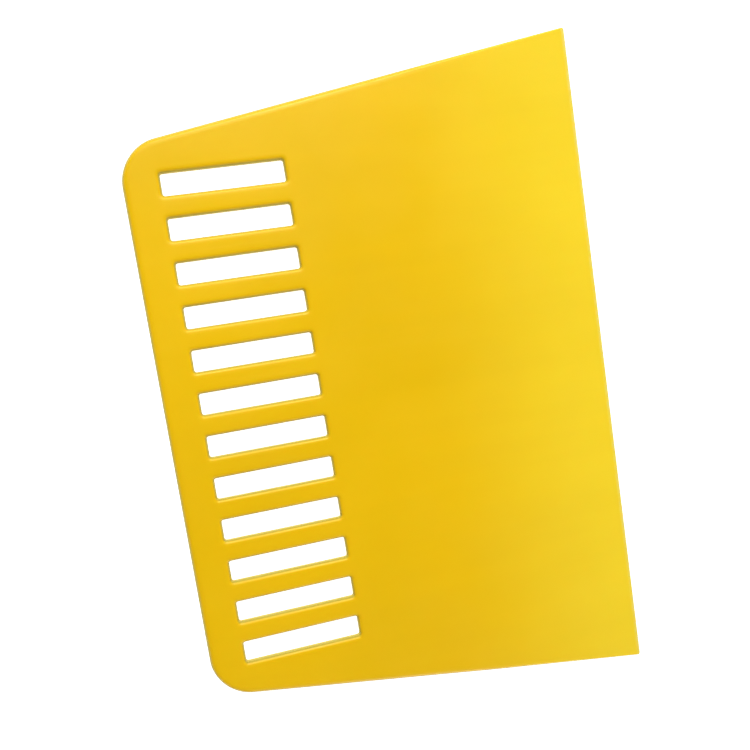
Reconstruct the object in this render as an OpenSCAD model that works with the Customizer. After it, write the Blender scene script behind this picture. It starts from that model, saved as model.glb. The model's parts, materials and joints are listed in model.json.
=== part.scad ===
// Squeegee applicator: a one-piece moulded plastic scraper that smooths film and
// vinyl down. It lies on its flat underside. +X runs from the handle end to the
// working edge, +Y runs along the working edge, and +Z is up, out of the face
// with the fuller rim. The origin is on the underside, at the middle of the box.

/* [Plate] */
// Length of the working edge
edge_len = 186; // [180:1:210]
// Depth from the handle end to the working edge
plate_depth = 125; // [115:1:150]
// Width of the handle end, taken to where its corners would be sharp
handle_w = 146; // [146:1:170]
// Radius of the two handle corners, seen from above
handle_corner_r = 11.5; // [8:0.5:14]
// Radius of the two ends of the working edge, seen from above
edge_corner_r = 0.6; // [0.5:0.1:2]

/* [Thickness] */
// Thickness of the grip
grip_t = 2.5; // [2.4:0.1:4]
// Thickness of the working edge
edge_t = 0.9; // [0.8:0.1:1.5]
// How far the thinning blade reaches back from the working edge
blade_depth = 60; // [45:1:65]
// Distance over which the upper face bends down from the grip to the blade
bend_len = 16; // [8:1:24]

/* [Rims] */
// Radius of the upper rim round the grip
grip_rim_r = 1.5; // [0.9:0.1:1.5]
// Radius of the lower rim round the grip
grip_foot_r = 0.8; // [0.4:0.1:0.8]
// Radius of the upper rim at the working edge
edge_rim_r = 0.4; // [0.2:0.05:0.4]
// Radius of the lower rim at the working edge
edge_foot_r = 0.3; // [0.15:0.05:0.3]

/* [Grip slots] */
// Number of slots
slot_count = 12; // [4:1:12]
// Distance from the middle of one slot to the next
slot_pitch = 11.4; // [10:0.1:11.4]
// Width of a slot between its side walls
slot_w = 5.6; // [5:0.1:6]
// Length of a slot between its end walls
slot_len = 31.6; // [24:0.2:34]
// Solid plastic between the handle end and the slots
slot_margin = 9.5; // [9:0.1:14]
// Radius in the four corners of a slot
slot_corner_r = 0.6; // [0.4:0.1:1]
// Radius that rounds the upper edge of a slot
slot_rim_r = 1; // [0.6:0.1:1.2]
// Radius that rounds the lower edge of a slot
slot_foot_r = 0.7; // [0.4:0.1:0.8]

/* [Hidden] */

// Angle of the two sides to the X axis
side_angle = atan((edge_len - handle_w) / (2 * plate_depth));
// Places along X: the handle end, the working edge, the slots and the start of the blade
handle_x = -plate_depth / 2;
edge_x = plate_depth / 2;
slot_x = handle_x + slot_margin + slot_len / 2;
bend_x = edge_x - blade_depth;
// Fall of the upper face for each millimetre along X, past the bend
blade_slope = (grip_t - edge_t) / (blade_depth - bend_len / 2);
// Number of flats that make up the bend
bend_steps = 8;
// Angle at which the rounded edge of a slot meets the flat face
rim_exit_angle = 12;
// How far a cutter runs past the plate
overrun = 1;

// Height of the upper face at x
function face_z(x) =
    let (u = x - bend_x)
    u <= 0 ? grip_t
    : u < bend_len ? grip_t - blade_slope * u * u / (2 * bend_len)
    : grip_t - blade_slope * (u - bend_len / 2);

// A radius that stays even round the grip, then fades out to the working edge
function faded(x, at_grip, at_edge) =
    at_grip + (at_edge - at_grip) * max(0, x - bend_x) / blade_depth;

// Distance from the middle line to a point that is r inside the sloping side at x
function inset_y(x, r) =
    handle_w / 2 + (x - handle_x) * tan(side_angle) - r / cos(side_angle);

// A round post from the underside to height t, with both its rims rounded
module post(plan_r, rim_r, foot_r, t) {
    rotate_extrude($fn = 96)
        intersection() {
            square([plan_r, t]);
            union() {
                translate([plan_r - rim_r, t - rim_r]) circle(rim_r, $fn = 40);
                translate([plan_r - foot_r, foot_r]) circle(foot_r, $fn = 24);
            }
        }
}

// The same post at x on both sides of the plate, touching the sloping sides
module post_pair(x, plan_r) {
    for (side = [-1, 1])
        translate([x, side * inset_y(x, plan_r), 0])
            post(plan_r, faded(x, grip_rim_r, edge_rim_r),
                 faded(x, grip_foot_r, edge_foot_r), face_z(x));
}

// The plate before its slots are cut: flat below, bending to a wedge above
module blank() {
    hull() {
        post_pair(handle_x + handle_corner_r, handle_corner_r);
        for (i = [0 : bend_steps]) {
            x = bend_x + i * bend_len / bend_steps;
            post_pair(x, faded(x, grip_rim_r, edge_rim_r));
        }
        post_pair(edge_x - edge_corner_r, edge_corner_r);
    }
}

// An upright block with round corners, standing on z = 0
module round_block(len, w, r, h) {
    translate([-len / 2 + r, -w / 2, 0]) cube([len - 2 * r, w, h]);
    translate([-len / 2, -w / 2 + r, 0]) cube([len, w - 2 * r, h]);
    for (sx = [-1, 1], sy = [-1, 1])
        translate([sx * (len / 2 - r), sy * (w / 2 - r), 0])
            cylinder(r = r, h = h, $fn = 32);
}

// A round bar bent into a closed ring, its middle line a rectangle with round corners
module round_ring(len, w, r, bar_r) {
    for (s = [-1, 1]) {
        translate([-len / 2 + r, s * w / 2, 0])
            rotate([0, 90, 0]) cylinder(r = bar_r, h = len - 2 * r, $fn = 48);
        translate([s * len / 2, -w / 2 + r, 0])
            rotate([-90, 0, 0]) cylinder(r = bar_r, h = w - 2 * r, $fn = 48);
    }
    for (quarter = [0 : 3]) {
        sx = (quarter == 0 || quarter == 3) ? 1 : -1;
        sy = quarter < 2 ? 1 : -1;
        translate([sx * (len / 2 - r), sy * (w / 2 - r), 0])
            rotate([0, 0, 90 * quarter])
                rotate_extrude(angle = 90, $fn = 48)
                    translate([r, 0]) circle(bar_r, $fn = 48);
    }
}

// The space that rounds a slot's edge, for a face at z = 0 with the plastic below it
module slot_edge_space(rim_r) {
    len = slot_len + 2 * rim_r;
    w = slot_w + 2 * rim_r;
    corner_r = slot_corner_r + rim_r;
    depth = rim_r * cos(rim_exit_angle);
    translate([0, 0, -depth])
        difference() {
            round_block(len, w, corner_r, depth + overrun);
            round_ring(len, w, corner_r, rim_r);
        }
}

// The whole space of one slot, its two edges rounded
module slot_space() {
    translate([0, 0, -overrun])
        round_block(slot_len, slot_w, slot_corner_r, grip_t + 2 * overrun);
    translate([0, 0, grip_t]) slot_edge_space(slot_rim_r);
    mirror([0, 0, 1]) slot_edge_space(slot_foot_r);
}

// The whole tool: grip, bars, blade and working edge in one moulding
module scraper_plate() {
    color("gold")
        difference() {
            blank();
            for (i = [0 : slot_count - 1])
                translate([slot_x, (i - (slot_count - 1) / 2) * slot_pitch, 0])
                    slot_space();
        }
}

scraper_plate();
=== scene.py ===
"""Looks of the squeegee applicator: one moulded yellow scraper on a pale studio floor."""

import json
import logging
import math
from dataclasses import dataclass
from enum import Enum
from typing import Any, Callable

import bmesh
import bpy
from mathutils import Matrix, Vector


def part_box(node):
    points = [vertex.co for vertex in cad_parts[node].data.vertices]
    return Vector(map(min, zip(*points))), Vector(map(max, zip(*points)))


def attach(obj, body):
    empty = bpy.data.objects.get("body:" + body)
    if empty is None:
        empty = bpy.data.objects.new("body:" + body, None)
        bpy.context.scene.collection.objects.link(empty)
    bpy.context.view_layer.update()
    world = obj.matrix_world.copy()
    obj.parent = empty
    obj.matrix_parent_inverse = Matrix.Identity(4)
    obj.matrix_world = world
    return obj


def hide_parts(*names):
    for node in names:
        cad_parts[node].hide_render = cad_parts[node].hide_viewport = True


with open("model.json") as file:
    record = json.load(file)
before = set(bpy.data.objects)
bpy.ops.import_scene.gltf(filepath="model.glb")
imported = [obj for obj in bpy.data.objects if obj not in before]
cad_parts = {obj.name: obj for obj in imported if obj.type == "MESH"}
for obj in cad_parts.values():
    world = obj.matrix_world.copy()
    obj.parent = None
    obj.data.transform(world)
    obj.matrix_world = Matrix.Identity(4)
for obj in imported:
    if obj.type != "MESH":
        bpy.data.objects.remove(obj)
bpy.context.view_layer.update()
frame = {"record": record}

log = logging.getLogger("squeegee_applicator")

# One millimetre, in metres
MM = 0.001
# Distance within which two places count as the same
SNAP = 1e-6
# Distance within which a rim counts as a slot's
NEAR_WALL = 0.1 * MM
# A face is an upright wall if it points up or down by less than this
WALL_TILT = 0.3
# A face is an upper or lower face if it points up or down by more than this
FACE_TILT = 0.7
# Values of a noise pattern that count, in a soft pattern and in a firmer one
SOFT_SPAN = (0.3, 0.7)
FIRM_SPAN = (0.35, 0.65)
# Width of the camera's sensor, in millimetres
SENSOR_WIDTH = 36.0
# The body that every piece rides on
BODY = "root"

Colour = tuple[float, float, float, float]


class Element(Enum):
    """The kinds of mesh element that are selected in edit mode."""

    VERTEX = "VERT"
    EDGE = "EDGE"
    FACE = "FACE"


class RimPlace(Enum):
    """The four kinds of rounded rim on the plate."""

    UPPER_OUTER = "upper outer"
    LOWER_OUTER = "lower outer"
    UPPER_SLOT = "upper slot"
    LOWER_SLOT = "lower slot"


@dataclass(frozen=True)
class Slot:
    """The rectangle of one grip slot, between its walls.

    Attributes:
        x_low: Place of the end wall nearer the handle end.
        x_high: Place of the end wall nearer the blade.
        y_low: Place of the lower long wall.
        y_high: Place of the upper long wall.
    """

    x_low: float
    x_high: float
    y_low: float
    y_high: float

    @property
    def centre(self) -> Vector:
        """The middle of the slot, on the underside."""
        return Vector(((self.x_low + self.x_high) / 2, (self.y_low + self.y_high) / 2, 0))

    def holds(self, point: Vector, margin: float) -> bool:
        """Tell whether a point lies in the slot or close round it.

        Args:
            point: The point, of which only x and y count.
            margin: How far outside the walls still counts.

        Returns:
            True if the point is that close.
        """
        in_x = self.x_low - margin <= point.x <= self.x_high + margin
        return in_x and self.y_low - margin <= point.y <= self.y_high + margin


@dataclass(frozen=True)
class Rim:
    """The radius of one rounded rim, even round the grip and fading along the blade.

    Attributes:
        at_grip: Radius round the grip.
        at_edge: Radius at the working edge.
    """

    at_grip: float
    at_edge: float

    def radius(self, share: float) -> float:
        """Give the radius at a share of the way along the blade, from 0 to 1."""
        return self.at_grip + (self.at_edge - self.at_grip) * share


class Workpiece:
    """A mesh object that is shaped in edit mode, with its parts selected by place."""

    def __init__(self, name: str, centre: Vector, length: float, width: float) -> None:
        """Add a flat rectangle at its size and place, and enter edit mode.

        Args:
            name: Name of the object and its mesh.
            centre: Middle of the rectangle.
            length: Size along X.
            width: Size along Y.
        """
        bpy.ops.object.select_all(action="DESELECT")
        bpy.ops.mesh.primitive_plane_add(size=1.0, location=centre)
        self.obj = bpy.context.object
        self.obj.name = name
        self.obj.data.name = name
        self.obj.scale = (length, width, 1.0)
        bpy.ops.object.transform_apply(location=True, rotation=True, scale=True)
        self.edit()

    def edit(self) -> None:
        """Enter edit mode on this object alone."""
        bpy.ops.object.select_all(action="DESELECT")
        self.obj.select_set(True)
        bpy.context.view_layer.objects.active = self.obj
        bpy.ops.object.mode_set(mode="EDIT")

    def leave(self) -> None:
        """Go back to object mode."""
        bpy.ops.object.mode_set(mode="OBJECT")

    def select(self, element: Element, test: Callable[[Any], bool]) -> int:
        """Select the elements that pass a test, and nothing else.

        Args:
            element: Kind of element to look through.
            test: Says whether one vertex, edge or face is wanted.

        Returns:
            The number of elements selected.
        """
        bpy.ops.mesh.select_mode(type=element.value)
        bpy.ops.mesh.select_all(action="DESELECT")
        mesh = bmesh.from_edit_mesh(self.obj.data)
        pools = {Element.VERTEX: mesh.verts, Element.EDGE: mesh.edges, Element.FACE: mesh.faces}
        chosen = [item for item in pools[element] if test(item)]
        for item in chosen:
            item.select_set(True)
        mesh.select_flush_mode()
        bmesh.update_edit_mesh(self.obj.data)
        return len(chosen)

    def score(self, point: Vector, normal: Vector, drop_outside: bool = False) -> None:
        """Cut the whole mesh along a plane.

        Args:
            point: A point of the plane.
            normal: Direction at right angles to the plane.
            drop_outside: Whether what lies on the normal's side is removed.
        """
        bpy.ops.mesh.select_all(action="SELECT")
        bpy.ops.mesh.bisect(
            plane_co=point, plane_no=normal, clear_outer=drop_outside, threshold=SNAP
        )

    def round_corners(self, test: Callable[[Vector], bool], tangent: float, steps: int) -> None:
        """Round the flat corners that pass a test.

        Args:
            test: Says whether the corner at a point is rounded.
            tangent: Distance from the sharp corner to where the arc starts.
            steps: Number of straight pieces in the arc.
        """
        self.select(Element.VERTEX, lambda vertex: test(vertex.co))
        bpy.ops.mesh.bevel(
            offset_type="OFFSET", offset=tangent, segments=steps, profile=0.5, affect="VERTICES"
        )

    def open_band(self, width: float) -> None:
        """Leave only a band of faces inside the outline of a flat face.

        Args:
            width: Width of the band.
        """
        self.select(Element.FACE, lambda face: True)
        bpy.ops.mesh.inset(thickness=width, use_boundary=True, use_even_offset=True)
        bpy.ops.mesh.delete(type="FACE")

    def apply(self, kind: str, **settings: Any) -> None:
        """Add a modifier in object mode and apply it.

        Args:
            kind: Blender's name for the modifier type.
            **settings: Values of the modifier's own settings.
        """
        modifier = self.obj.modifiers.new(kind.lower(), kind)
        for key, value in settings.items():
            setattr(modifier, key, value)
        bpy.ops.object.modifier_apply(modifier=modifier.name)


class NodeBench:
    """A material's node tree, with short calls that add nodes and join them."""

    def __init__(self, material: bpy.types.Material) -> None:
        """Empty the material's tree, ready for new nodes.

        Args:
            material: The material that the nodes are for.
        """
        material.use_nodes = True
        self.tree = material.node_tree
        self.tree.nodes.clear()

    def add(self, kind: str, inputs: dict[Any, Any] | None = None, **settings: Any) -> Any:
        """Add a node.

        Args:
            kind: Blender's name for the node type.
            inputs: Values or sockets for the node's inputs, by name or number.
            **settings: Values of the node's own settings.

        Returns:
            The new node.
        """
        node = self.tree.nodes.new(kind)
        for key, value in settings.items():
            setattr(node, key, value)
        for key, value in (inputs or {}).items():
            if isinstance(value, bpy.types.NodeSocket):
                self.tree.links.new(value, node.inputs[key])
            else:
                node.inputs[key].default_value = value
        return node

    def place(self, source: Any, stretch: tuple[float, float, float], turn: float = 0.0) -> Any:
        """Stretch and turn object coordinates for a pattern.

        Args:
            source: Socket with the coordinates.
            stretch: Factors along X, Y and Z.
            turn: Angle about Z, in degrees.

        Returns:
            Socket with the new coordinates.
        """
        inputs = {"Vector": source, "Scale": stretch, "Rotation": (0, 0, math.radians(turn))}
        return self.add("ShaderNodeMapping", inputs).outputs["Vector"]

    def noise(self, source: Any, scale: float, detail: float = 2.0) -> Any:
        """Add a noise pattern and give its factor socket."""
        inputs = {"Vector": source, "Scale": scale, "Detail": detail}
        return self.add("ShaderNodeTexNoise", inputs).outputs["Fac"]

    def spread(self, value: Any, span: tuple[float, float], to: tuple[float, float]) -> Any:
        """Map one range of values smoothly to another.

        Args:
            value: Socket with the value.
            span: Lowest and highest value that count.
            to: Values that they become.

        Returns:
            Socket with the mapped value.
        """
        inputs = {"Value": value, 1: span[0], 2: span[1], 3: to[0], 4: to[1]}
        node = self.add("ShaderNodeMapRange", inputs, interpolation_type="SMOOTHSTEP")
        return node.outputs["Result"]

    def maths(self, operation: str, first: Any, second: Any) -> Any:
        """Combine two values with one operation and give the result socket."""
        node = self.add("ShaderNodeMath", {0: first, 1: second}, operation=operation)
        return node.outputs["Value"]

    def blend(self, share: Any, first: Any, second: Any, kind: str = "MIX") -> Any:
        """Blend two colours.

        Args:
            share: Share of the second colour.
            first: Colour or socket at share 0.
            second: Colour or socket at share 1.
            kind: Blender's name for the way of blending.

        Returns:
            Socket with the blended colour.
        """
        inputs = {"Fac": share, "Color1": first, "Color2": second}
        return self.add("ShaderNodeMixRGB", inputs, blend_type=kind).outputs["Color"]


@dataclass(frozen=True)
class MouldedPlastic:
    """Satin yellow polypropylene, lighter towards the working edge, with painted shade on its
    upright walls and steep rims.

    Attributes:
        grip: Colour of the full-thickness grip.
        blade: Colour of the thin working edge.
        worn: Colour of the scuffed line along the working edge.
        wall: Painted shade: a darker olive colour on the upright walls and steep rims, which turn
            away from the light from above.
        wall_shade_span: How far up a surface points where the painted shade is full, and where it
            is gone.
        sheen: Tint of the gloss, warmed by the colour just under the skin.
        gloss: Strength of the gloss.
        roughness: Lowest and highest roughness of the moulded skin.
        patch_scale: Number of duller and shinier patches in a metre.
        scratch_roughness: Roughness that a scratch adds.
        refraction: Index of refraction.
        depth: How far light travels inside the plastic.
        glow: Share of the light that travels inside.
        glow_reach: How far red, green and blue travel, as shares of the depth.
        cloud_scale: Number of faint clouds in a metre of the colour.
        cloud_tone: Lowest and highest brightness of the clouds.
        streak_scale: Numbers of flow lines in a metre along X, Y and Z.
        streak_tone: Lowest and highest brightness of the flow lines.
        worn_line: Distances from the working edge where the worn line starts and is full.
        scuff_share: Lowest and highest share of the worn colour along that line.
        scratch_scale: Numbers of scratches in a metre along them, across them and along Z.
        scratch_span: Values of their pattern where a scratch starts and where it is full.
        scratch_turns: Directions of the two sets of scratches, in degrees.
        scratch_depth: Depth of a scratch, as a share of the orange peel's height.
        peel_scale: Number of dimples in a metre of orange peel, and of scuffs in a metre.
        grain_scale: Number of grains in a metre of skin.
        grain_share: Height of the grain, as a share of the orange peel's height.
        skin_height: Height of the moulded skin's relief.
        skin_strength: Strength of the relief in the shading.
    """

    grip: Colour = (0.90, 0.553, 0.002, 1.0)
    blade: Colour = (0.96, 0.71, 0.024, 1.0)
    worn: Colour = (0.86, 0.77, 0.22, 1.0)
    wall: Colour = (0.50, 0.395, 0.05, 1.0)
    wall_shade_span: tuple[float, float] = (0.52, 0.93)
    sheen: Colour = (1.0, 1.0, 0.50, 1.0)
    gloss: float = 0.42
    roughness: tuple[float, float] = (0.34, 0.44)
    patch_scale: float = 55.0
    scratch_roughness: float = 0.10
    refraction: float = 1.49
    depth: float = 1.2 * MM
    glow: float = 0.2
    glow_reach: tuple[float, float, float] = (1.0, 0.62, 0.1)
    cloud_scale: float = 18.0
    cloud_tone: tuple[float, float] = (0.97, 1.02)
    streak_scale: tuple[float, float, float] = (9.0, 120.0, 9.0)
    streak_tone: tuple[float, float] = (0.992, 1.005)
    worn_line: tuple[float, float] = (1.4 * MM, 0.2 * MM)
    scuff_share: tuple[float, float] = (0.35, 0.85)
    scratch_scale: tuple[float, float, float] = (14.0, 900.0, 14.0)
    scratch_span: tuple[float, float] = (0.69, 0.74)
    scratch_turns: tuple[float, float] = (24.0, 103.0)
    scratch_depth: float = 0.25
    peel_scale: float = 420.0
    grain_scale: float = 3600.0
    grain_share: float = 0.12
    skin_height: float = 0.05 * MM
    skin_strength: float = 0.22

    def make(self, blade_start: float, edge: float) -> bpy.types.Material:
        """Make the material.

        Args:
            blade_start: Place along X where the plate starts to thin.
            edge: Place along X of the working edge.

        Returns:
            The new material.
        """
        material = bpy.data.materials.new("yellow_plastic")
        bench = NodeBench(material)
        coordinates = bench.add("ShaderNodeTexCoord").outputs
        place = coordinates["Object"]
        facing = bench.add("ShaderNodeSeparateXYZ", {"Vector": coordinates["Normal"]})
        along = bench.add("ShaderNodeSeparateXYZ", {"Vector": place}).outputs["X"]
        flats = self._colour(bench, place, along, blade_start, edge)
        # Painted shade: surfaces that point more sideways than up get the darker olive colour,
        # darkest on upright walls.
        upright = bench.maths("ABSOLUTE", facing.outputs["Z"], 0.0)
        wall_shade_share = bench.spread(upright, self.wall_shade_span, (1.0, 0.0))
        colour = bench.blend(wall_shade_share, flats, self.wall)
        patches = bench.noise(place, self.patch_scale, 3.0)
        skin = bench.spread(patches, SOFT_SPAN, self.roughness)
        scratches = self._scratches(bench, place)
        scratched = bench.maths("MULTIPLY", scratches, self.scratch_roughness)
        rough = bench.maths("ADD", skin, scratched)
        shader = bench.add(
            "ShaderNodeBsdfPrincipled",
            {
                "Base Color": colour,
                "Roughness": rough,
                "Normal": self._skin(bench, place, scratches),
                "IOR": self.refraction,
                "Specular IOR Level": self.gloss,
                "Specular Tint": self.sheen,
                "Subsurface Weight": self.glow,
                "Subsurface Radius": self.glow_reach,
                "Subsurface Scale": self.depth,
            },
        )
        bench.add("ShaderNodeOutputMaterial", {"Surface": shader.outputs["BSDF"]})
        return material

    def _colour(
        self, bench: NodeBench, place: Any, along: Any, blade_start: float, edge: float
    ) -> Any:
        """Colour the plastic: lighter and greener towards the working edge, with clouds, flow
        lines and a worn edge.

        Args:
            bench: The material's node tree.
            place: Socket with object coordinates.
            along: Socket with the place along X.
            blade_start: Place along X where the plate starts to thin.
            edge: Place along X of the working edge.

        Returns:
            Socket with the colour.
        """
        thin = bench.spread(along, (blade_start, edge), (0.0, 1.0))
        base = bench.blend(thin, self.grip, self.blade)
        mottle = bench.noise(place, self.cloud_scale, 3.0)
        clouds = bench.spread(mottle, SOFT_SPAN, self.cloud_tone)
        flow = bench.noise(bench.place(place, self.streak_scale), 1.0, 3.0)
        streaks = bench.spread(flow, FIRM_SPAN, self.streak_tone)
        tone = bench.maths("MULTIPLY", clouds, streaks)
        toned = bench.blend(1.0, base, tone, "MULTIPLY")
        rubbed = bench.noise(place, self.peel_scale, 3.0)
        scuffs = bench.spread(rubbed, FIRM_SPAN, self.scuff_share)
        start, full = self.worn_line
        line = bench.spread(along, (edge - start, edge - full), (0.0, 1.0))
        return bench.blend(bench.maths("MULTIPLY", scuffs, line), toned, self.worn)

    def _scratches(self, bench: NodeBench, place: Any) -> Any:
        """Draw two sets of hair-fine handling scratches.

        Args:
            bench: The material's node tree.
            place: Socket with object coordinates.

        Returns:
            Socket that is 1 in a scratch and 0 beside it.
        """
        sets = []
        for turn in self.scratch_turns:
            lines = bench.noise(bench.place(place, self.scratch_scale, turn), 1.0, 1.0)
            sets.append(bench.spread(lines, self.scratch_span, (0.0, 1.0)))
        return bench.maths("MAXIMUM", sets[0], sets[1])

    def _skin(self, bench: NodeBench, place: Any, scratches: Any) -> Any:
        """Give the moulded skin its faint orange peel, fine grain and scratches.

        Args:
            bench: The material's node tree.
            place: Socket with object coordinates.
            scratches: Socket that is 1 in a scratch.

        Returns:
            Socket with the normal.
        """
        peel = bench.noise(place, self.peel_scale, 2.0)
        grain = bench.noise(place, self.grain_scale, 2.0)
        height = bench.maths("ADD", peel, bench.maths("MULTIPLY", grain, self.grain_share))
        grooves = bench.maths("MULTIPLY", scratches, self.scratch_depth)
        height = bench.maths("SUBTRACT", height, grooves)
        inputs = {
            "Height": height,
            "Strength": self.skin_strength,
            "Distance": self.skin_height,
        }
        return bench.add("ShaderNodeBump", inputs).outputs["Normal"]


@dataclass(frozen=True)
class PaleFloor:
    """A matt white floor that glows a little, so that it stays even.

    Attributes:
        colour: Colour of the floor.
        roughness: Its roughness.
        gloss: Strength of its gloss.
        glow_colour: Colour of its own light.
        glow: Strength of its own light.
    """

    colour: Colour = (0.70, 0.70, 0.70, 1.0)
    roughness: float = 0.9
    gloss: float = 0.1
    glow_colour: Colour = (1.0, 1.0, 1.0, 1.0)
    glow: float = 1.05

    def make(self) -> bpy.types.Material:
        """Make the material.

        Returns:
            The new material.
        """
        material = bpy.data.materials.new("pale_floor")
        bench = NodeBench(material)
        shader = bench.add(
            "ShaderNodeBsdfPrincipled",
            {
                "Base Color": self.colour,
                "Roughness": self.roughness,
                "Specular IOR Level": self.gloss,
                "Emission Color": self.glow_colour,
                "Emission Strength": self.glow,
            },
        )
        bench.add("ShaderNodeOutputMaterial", {"Surface": shader.outputs["BSDF"]})
        return material


@dataclass
class ScraperPlate:
    """The whole moulding: grip, slots, bars, blade and working edge.

    Attributes:
        low: Lowest corner of the plate's box.
        high: Highest corner of the plate's box.
        slots: The grip slots, in order along Y.
        edge_length: Length of the working edge, to its sharp corners.
        handle_width: Width of the handle end, to its sharp corners.
        handle_corner: Radius of the handle corners, seen from above.
        edge_corner: Radius of the working edge's ends, seen from above.
        slot_corner: Radius in the corners of a slot.
        edge_thickness: Thickness of the working edge.
        blade_depth: How far the thinning blade reaches back from the working edge.
        bend_length: Distance over which the upper face bends down.
        crown: How far the upper face falls towards the rims, which fades along the blade.
        upper_rim: Radius of the plate's upper rim.
        lower_rim: Radius of the plate's lower rim.
        slot_rim: Radius of a slot's upper rim.
        slot_foot: Radius of a slot's lower rim.
        outer_band: Width of the flat band of faces inside the outline.
        slot_band: Width of the flat band of faces round a slot.
        handle_corner_steps: Straight pieces in the arc of a handle corner.
        edge_corner_steps: Straight pieces in the arc at an end of the working edge.
        slot_corner_steps: Straight pieces in the arc of a slot's corner.
        bend_steps: Strips of faces along the bend.
        blade_steps: Strips of faces along the blade, past the bend.
        rim_steps: Strips of faces round a rim.
    """

    low: Vector
    high: Vector
    slots: list[Slot]
    edge_length: float = 186 * MM
    handle_width: float = 146 * MM
    handle_corner: float = 11.5 * MM
    edge_corner: float = 0.6 * MM
    slot_corner: float = 0.6 * MM
    edge_thickness: float = 0.9 * MM
    blade_depth: float = 60 * MM
    bend_length: float = 16 * MM
    crown: float = 0.2 * MM
    upper_rim: Rim = Rim(1.5 * MM, 0.4 * MM)
    lower_rim: Rim = Rim(0.8 * MM, 0.3 * MM)
    slot_rim: Rim = Rim(1.0 * MM, 1.0 * MM)
    slot_foot: Rim = Rim(0.7 * MM, 0.7 * MM)
    outer_band: float = 2.2 * MM
    slot_band: float = 1.6 * MM
    handle_corner_steps: int = 24
    edge_corner_steps: int = 6
    slot_corner_steps: int = 7
    bend_steps: int = 8
    blade_steps: int = 9
    rim_steps: int = 8

    def __post_init__(self) -> None:
        """Work out the places and slopes that follow from the sizes."""
        self.thickness = self.high.z - self.low.z
        self.depth = self.high.x - self.low.x
        self.side_slope = (self.edge_length - self.handle_width) / (2 * self.depth)
        self.blade_start = self.high.x - self.blade_depth
        fall = self.thickness - self.edge_thickness
        self.blade_slope = fall / (self.blade_depth - self.bend_length / 2)
        self.rims = {
            RimPlace.UPPER_OUTER: self.upper_rim,
            RimPlace.LOWER_OUTER: self.lower_rim,
            RimPlace.UPPER_SLOT: self.slot_rim,
            RimPlace.LOWER_SLOT: self.slot_foot,
        }

    def build(self) -> bpy.types.Object:
        """Make the finished mesh.

        Returns:
            The plate's object, at the origin.
        """
        sheet = self._outline()
        rings = self._slot_rings()
        self._join(sheet, rings)
        self._fill(sheet)
        self._score_blade(sheet)
        self._thicken(sheet)
        self._lower_upper_face(sheet)
        self._round_rims(sheet)
        return sheet.obj

    def dress(self, piece: bpy.types.Object, finish: MouldedPlastic) -> None:
        """Give the plate its finish and tie it to the frame.

        Args:
            piece: The plate's object.
            finish: The plastic that it is moulded in.
        """
        piece.data.materials.clear()
        piece.data.materials.append(finish.make(self.blade_start, self.high.x))
        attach(piece, BODY)
        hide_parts("scraper_plate")

    def face_height(self, x: float) -> float:
        """Give the height of the upper face at a place along X.

        Args:
            x: The place.

        Returns:
            The height above the underside.
        """
        past = x - self.blade_start
        if past <= 0:
            return self.thickness
        if past < self.bend_length:
            return self.thickness - self.blade_slope * past**2 / (2 * self.bend_length)
        return self.thickness - self.blade_slope * (past - self.bend_length / 2)

    def _outline(self) -> Workpiece:
        """Make the plate's outline with a flat band of faces inside it.

        Returns:
            The workpiece, in object mode.
        """
        sheet = self._outline_loop("moulded_scraper_plate", 0.0)
        inner = self._outline_loop("inner_outline", self.outer_band)
        self._join(sheet, [inner.obj])
        sheet.edit()
        sheet.select(Element.EDGE, lambda edge: True)
        bpy.ops.mesh.bridge_edge_loops()
        sheet.leave()
        return sheet

    def _outline_loop(self, name: str, inset: float) -> Workpiece:
        """Draw the plate's outline, or a smaller one that runs beside it.

        Args:
            name: Name of the workpiece.
            inset: Distance inside the plate's own outline.

        Returns:
            The workpiece, a closed loop of edges in object mode.
        """
        centre = Vector(((self.low.x + self.high.x) / 2, 0, self.low.z))
        loop = Workpiece(name, centre, self.depth - 2 * inset, self.edge_length)
        for side in (-1, 1):
            outward = Vector((-self.side_slope, side, 0)).normalized()
            start = Vector((self.low.x, side * self.handle_width / 2, 0))
            loop.score(start - outward * inset, outward, drop_outside=True)
        lean = math.atan(self.side_slope)
        handle_tangent = (self.handle_corner - inset) / math.tan((math.pi / 2 + lean) / 2)
        edge_tangent = self.edge_corner / math.tan((math.pi / 2 - lean) / 2)
        loop.round_corners(
            lambda point: point.x < centre.x, handle_tangent, self.handle_corner_steps
        )
        near_edge = self.high.x - inset - SNAP
        loop.round_corners(
            lambda point: point.x > near_edge, edge_tangent, self.edge_corner_steps
        )
        loop.select(Element.FACE, lambda face: True)
        bpy.ops.mesh.delete(type="ONLY_FACE")
        loop.leave()
        return loop

    def _slot_rings(self) -> list[bpy.types.Object]:
        """Make the flat band round every slot.

        Returns:
            One object for each slot.
        """
        first = self.slots[0]
        length = first.x_high - first.x_low + 2 * self.slot_band
        width = first.y_high - first.y_low + 2 * self.slot_band
        ring = Workpiece("slot_ring", first.centre, length, width)
        ring.round_corners(
            lambda point: True, self.slot_corner + self.slot_band, self.slot_corner_steps
        )
        ring.open_band(self.slot_band)
        ring.leave()
        rings = [ring.obj]
        for slot in self.slots[1:]:
            copy = ring.obj.copy()
            copy.data = ring.obj.data.copy()
            copy.data.transform(Matrix.Translation(slot.centre - first.centre))
            bpy.context.collection.objects.link(copy)
            rings.append(copy)
        return rings

    def _join(self, sheet: Workpiece, rings: list[bpy.types.Object]) -> None:
        """Join other bands or loops to the sheet.

        Args:
            sheet: The workpiece that takes them in, in object mode.
            rings: Their objects, which end with the join.
        """
        bpy.ops.object.select_all(action="DESELECT")
        for ring in rings:
            ring.select_set(True)
        sheet.obj.select_set(True)
        bpy.context.view_layer.objects.active = sheet.obj
        bpy.ops.object.join()

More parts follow.
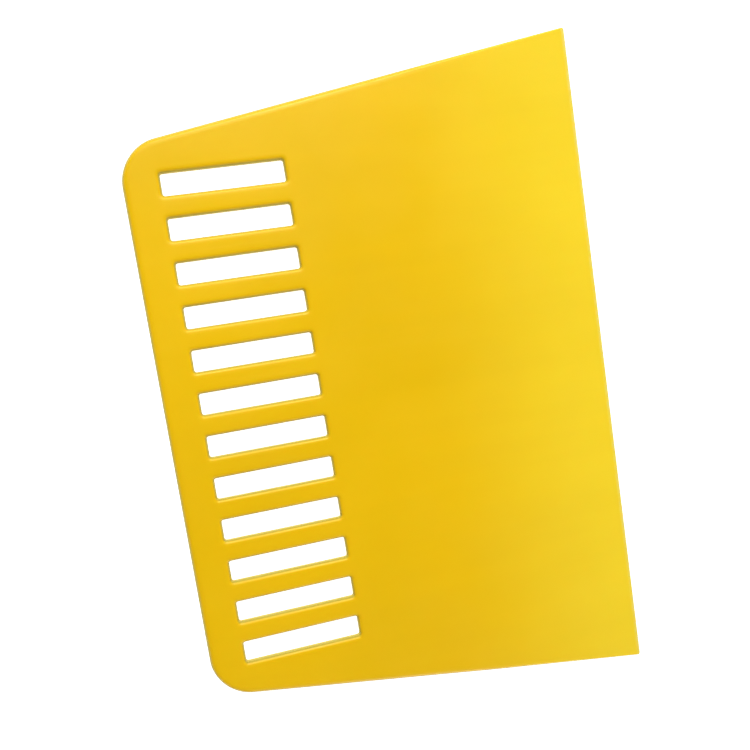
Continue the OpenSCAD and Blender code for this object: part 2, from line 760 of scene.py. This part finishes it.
    def _borders_gap(self, edge: Any) -> bool:
        """Tell whether an edge borders the gap between the outer band and the slot bands.

        Args:
            edge: The mesh edge.

        Returns:
            True if it does.
        """
        if not edge.is_boundary:
            return False
        middle = (edge.verts[0].co + edge.verts[1].co) / 2
        to_face = edge.link_faces[0].calc_center_median() - middle
        for slot in self.slots:
            if slot.holds(middle, self.slot_band + SNAP):
                return to_face.dot(middle - slot.centre) < 0
        return to_face.dot(middle) > 0

    def _fill(self, sheet: Workpiece) -> None:
        """Fill the gap between the bands, so that the sheet is whole but for its slots.

        Args:
            sheet: The joined bands, in object mode. It is left in edit mode.
        """
        sheet.edit()
        sheet.select(Element.EDGE, self._borders_gap)
        bpy.ops.mesh.fill(use_beauty=True)

    def _score_blade(self, sheet: Workpiece) -> None:
        """Score the sheet across, where its upper face will bend and slope.

        Args:
            sheet: The flat sheet, in edit mode.
        """
        step = self.bend_length / self.bend_steps
        places = [self.blade_start + step * i for i in range(self.bend_steps + 1)]
        end = self.high.x - self.outer_band
        step = (end - places[-1]) / self.blade_steps
        places += [places[-1] + step * i for i in range(1, self.blade_steps)]
        for x in places:
            sheet.score(Vector((x, 0, 0)), Vector((1, 0, 0)))

    def _thicken(self, sheet: Workpiece) -> None:
        """Turn the sheet's faces up and give it the thickness of the grip.

        Args:
            sheet: The flat sheet, in edit mode. It is left in object mode.
        """
        if sheet.select(Element.FACE, lambda face: face.normal.z < 0):
            bpy.ops.mesh.flip_normals()
        sheet.leave()
        sheet.apply("SOLIDIFY", thickness=self.thickness, offset=1.0, use_rim=True)

    def _lower_upper_face(self, sheet: Workpiece) -> None:
        """Lower the upper face along the blade, and a little towards the rims.

        Args:
            sheet: The thick sheet, in object mode. It is left in edit mode.
        """
        sheet.edit()
        flat = self.high.z - SNAP
        mesh = bmesh.from_edit_mesh(sheet.obj.data)
        upper = [vertex.co.x for vertex in mesh.verts if vertex.co.z > flat]
        places = sorted({round(x, 6) for x in upper if x > self.blade_start + SNAP})
        sheet.select(
            Element.VERTEX,
            lambda vertex: vertex.co.z > flat and vertex.co.x < self.blade_start + SNAP
            and self._meets_wall(vertex),
        )
        bpy.ops.transform.translate(value=(0, 0, -self.crown))
        for x in places:
            fall = self.face_height(x) - self.thickness
            rim_fall = self.crown * (x - self.high.x) / self.blade_depth
            for on_rim, shift in ((True, fall + rim_fall), (False, fall)):
                sheet.select(
                    Element.VERTEX,
                    lambda vertex, x=x, on_rim=on_rim: vertex.co.z > flat
                    and abs(vertex.co.x - x) < SNAP
                    and self._meets_wall(vertex) == on_rim,
                )
                bpy.ops.transform.translate(value=(0, 0, shift))

    def _meets_wall(self, vertex: Any) -> bool:
        """Tell whether a mesh vertex lies on an upright wall."""
        return any(abs(face.normal.z) < WALL_TILT for face in vertex.link_faces)

    def _rim_radius(self, edge: Any) -> float:
        """Give the radius that an edge is rounded to.

        Args:
            edge: The mesh edge.

        Returns:
            The radius, or 0 where the edge isn't on a rim.
        """
        facing = sorted(face.normal.z for face in edge.link_faces)
        middle = (edge.verts[0].co + edge.verts[1].co) / 2
        on_slot = any(slot.holds(middle, NEAR_WALL) for slot in self.slots)
        if facing[-1] > FACE_TILT and abs(facing[0]) < WALL_TILT:
            place = RimPlace.UPPER_SLOT if on_slot else RimPlace.UPPER_OUTER
        elif facing[0] < -FACE_TILT and abs(facing[-1]) < WALL_TILT:
            place = RimPlace.LOWER_SLOT if on_slot else RimPlace.LOWER_OUTER
        else:
            return 0.0
        share = max(0.0, middle.x - self.blade_start) / self.blade_depth
        return self.rims[place].radius(share)

    def _round_rims(self, sheet: Workpiece) -> None:
        """Round every rim to its own radius, and even out the shading.

        Args:
            sheet: The shaped plate, in edit mode. It is left in object mode.
        """
        mesh = bmesh.from_edit_mesh(sheet.obj.data)
        mesh.normal_update()
        weights = mesh.edges.layers.float.new("bevel_weight_edge")
        widest = max(rim.at_grip for rim in self.rims.values())
        for edge in mesh.edges:
            edge[weights] = self._rim_radius(edge) / widest
        bmesh.update_edit_mesh(sheet.obj.data)
        sheet.leave()
        sheet.apply(
            "BEVEL",
            limit_method="WEIGHT",
            offset_type="OFFSET",
            width=widest,
            segments=self.rim_steps,
            profile=0.5,
            use_clamp_overlap=False,
        )
        bpy.ops.object.shade_smooth()
        sheet.apply("WEIGHTED_NORMAL", weight=50, keep_sharp=False)


@dataclass(frozen=True)
class SoftLight:
    """A square soft light that faces the plate.

    Attributes:
        name: Name of the light.
        place: Where it hangs.
        size: Side of its square face.
        power: Its power in watts.
    """

    name: str
    place: Vector
    size: float
    power: float

    def hang(self) -> None:
        """Add the light to the scene, turned towards the middle of the plate."""
        data = bpy.data.lights.new(self.name, "AREA")
        data.size = self.size
        data.energy = self.power
        light = bpy.data.objects.new(self.name, data)
        light.location = self.place
        light.rotation_euler = (-self.place).to_track_quat("-Z", "Y").to_euler()
        bpy.context.collection.objects.link(light)


@dataclass
class Studio:
    """The pale floor, the soft lights and the camera.

    Attributes:
        floor_size: Side of the square floor.
        floor_drop: Gap between the floor and the underside of the plate.
        key: Main light, beyond the side of the plate at +Y.
        fill: Weak light from the other side, so low that it lights the rims more than the face.
        room: Strength of the even light from all round.
        eye: Place of the camera.
        aim: Point that the camera looks at.
        roll: Angle of the picture's upright from +Y towards +X, in degrees.
        lens: Focal length, in millimetres.
        nearest: Distance from the camera at which the picture starts.
    """

    floor_size: float = 12.0
    floor_drop: float = 0.02 * MM
    key: SoftLight = SoftLight("key_light", Vector((0.06, 0.94, 0.98)), 0.7, 19.7)
    fill: SoftLight = SoftLight("fill_light", Vector((0.30, -1.10, 0.24)), 0.8, 7.5)
    room: float = 0.14
    eye: Vector = Vector((-0.0425, 0.0255, 0.1969))
    aim: Vector = Vector((-0.0059, 0.0056, 0.0017))
    roll: float = 8.93
    lens: float = 35.04
    nearest: float = 10 * MM

    def build(self) -> None:
        """Set up the floor, the lights, the surroundings and the camera."""
        self._floor()
        self.key.hang()
        self.fill.hang()
        self._surroundings()
        self._camera()
        bpy.context.scene.view_settings.view_transform = "Standard"

    def _floor(self) -> None:
        """Lay the pale floor under the plate."""
        bpy.ops.object.select_all(action="DESELECT")
        bpy.ops.mesh.primitive_plane_add(size=self.floor_size, location=(0, 0, -self.floor_drop))
        floor = bpy.context.object
        floor.name = "studio_floor"
        floor.data.materials.append(PaleFloor().make())

    def _surroundings(self) -> None:
        """Fill the room with dim, even light."""
        world = bpy.data.worlds.new("studio_room")
        world.use_nodes = True
        background = world.node_tree.nodes["Background"]
        background.inputs["Color"].default_value = (1.0, 1.0, 1.0, 1.0)
        background.inputs["Strength"].default_value = self.room
        bpy.context.scene.world = world

    def _camera(self) -> None:
        """Place the camera over the grip, tilted towards the blade."""
        data = bpy.data.cameras.new("camera")
        data.lens = self.lens
        data.sensor_width = SENSOR_WIDTH
        data.clip_start = self.nearest
        forward = (self.aim - self.eye).normalized()
        turn = math.radians(self.roll)
        right = forward.cross(Vector((math.sin(turn), math.cos(turn), 0))).normalized()
        up = right.cross(forward)
        camera = bpy.data.objects.new("camera", data)
        rotation = Matrix((right, up, -forward)).transposed()
        camera.matrix_world = Matrix.Translation(self.eye) @ rotation.to_4x4()
        bpy.context.collection.objects.link(camera)
        bpy.context.scene.camera = camera


def read_slots(wall_gap: float = 0.3 * MM) -> list[Slot]:
    """Read the grip slots from the openings that the record states.

    Args:
        wall_gap: Room between a stated opening and the slot's walls.

    Returns:
        The slots, in order along Y.
    """
    slots = []
    for opening in frame["record"]["physics"]["openings"]:
        low, high = opening["box_m"]
        slots.append(
            Slot(low[0] - wall_gap, high[0] + wall_gap, low[1] - wall_gap, high[1] + wall_gap)
        )
    return sorted(slots, key=lambda slot: slot.y_low)


def main() -> None:
    """Build the plate and the studio round it."""
    logging.basicConfig(level=logging.INFO, format="%(name)s: %(message)s")
    low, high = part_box("scraper_plate")
    plate = ScraperPlate(low, high, read_slots())
    piece = plate.build()
    plate.dress(piece, MouldedPlastic())
    log.info("%s: %d faces, %d slots", piece.name, len(piece.data.polygons), len(plate.slots))
    Studio().build()
    log.info("studio: floor, light, surroundings and camera")


if __name__ == "__main__":
    main()
